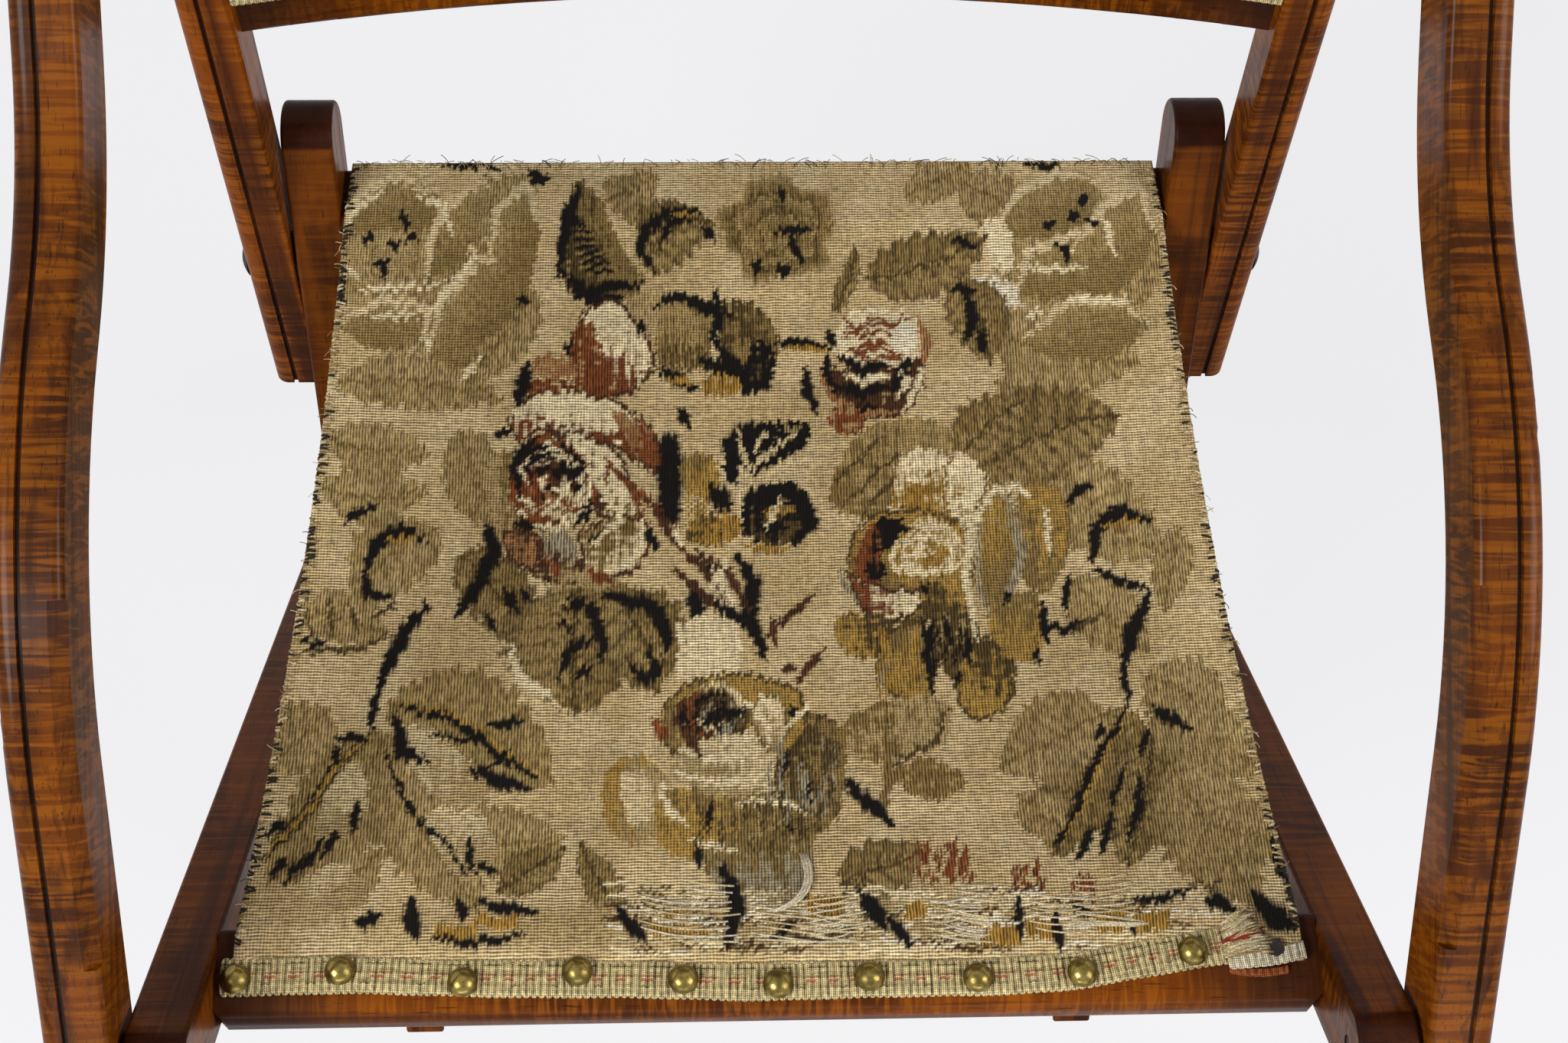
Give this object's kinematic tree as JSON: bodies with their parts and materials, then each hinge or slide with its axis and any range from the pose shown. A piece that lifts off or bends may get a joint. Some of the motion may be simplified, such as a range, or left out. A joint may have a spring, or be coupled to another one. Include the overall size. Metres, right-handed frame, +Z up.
{
  "type": "folding armchair",
  "caption": "Folding armchair with crossed wooden legs, swept arms, a reclined padded back and a tapestry sling seat held by a braid and domed tacks.",
  "frame": {"origin": "on the floor, under the middle of the chair's box", "axes": "+Z up, -Y the way the sitter faces, +X to the sitter's left"},
  "size_m": [0.4986, 0.5507, 0.9894],
  "materials": {
    "walnut": "polished",
    "tapestry": "woven",
    "braid": "woven",
    "undercloth": "woven",
    "lining": "woven",
    "brass": "tarnished",
    "iron": "dull"
  },
  "bodies": {
    "inner_frame": {"inner_leg_left": "walnut", "inner_leg_right": "walnut", "rear_seat_rail": "walnut", "inner_stretcher": "walnut", "scissor_rivets": "iron", "scissor_washers": "iron", "scissor_roves": "iron", "back_rivets": "iron", "back_washers": "iron", "back_roves": "iron", "hem_tacks": "iron", "seat_sling": "tapestry", "seat_undercloth": "undercloth"},
    "outer_frame": {"outer_leg_left": "walnut", "outer_leg_right": "walnut", "front_seat_rail": "walnut", "outer_stretcher": "walnut", "seat_gimp": "braid", "seat_tacks": "brass", "iron_tack": "iron", "arm_washers": "iron"},
    "back_frame": {"back_stile_left": "walnut", "back_stile_right": "walnut", "back_lower_rail": "walnut", "back_crest_rail": "walnut", "back_panel": "tapestry", "back_lining": "lining", "back_gimp_lower": "braid", "back_gimp_upper": "braid", "back_gimp_left": "braid", "back_gimp_right": "braid", "arm_studs": "brass"},
    "left_arm": {"arm_left": "walnut", "arm_rivet_left": "iron"},
    "right_arm": {"arm_right": "walnut", "arm_rivet_right": "iron"}
  },
  "joints": [
    {"name": "scissor_fold", "type": "hinge", "parent": "inner_frame", "child": "outer_frame", "pos_m": [0, -0.00299, 0.264], "axis": [-1, 0, 0], "range_deg": [0, 60], "deforming": ["seat_sling", "seat_undercloth"]},
    {"name": "back_tilt", "type": "hinge", "parent": "inner_frame", "child": "back_frame", "pos_m": [0, 0.09889, 0.43027], "axis": [-1, 0, 0], "range_deg": [0, 15.5]},
    {"name": "left_arm_swing", "type": "hinge", "parent": "outer_frame", "child": "left_arm", "pos_m": [0, -0.25885, 0.52711], "axis": [1, 0, 0], "range_deg": [0, 94]},
    {"name": "right_arm_swing", "type": "hinge", "parent": "outer_frame", "child": "right_arm", "pos_m": [0, -0.25885, 0.52711], "axis": [1, 0, 0], "range_deg": [0, 94]}
  ],
  "couplings": [
    {"joint": "back_tilt", "follows": "scissor_fold", "ratio": 0.25},
    {"joint": "left_arm_swing", "follows": "scissor_fold", "ratio": 1.56},
    {"joint": "right_arm_swing", "follows": "scissor_fold", "ratio": 1.56}
  ]
}
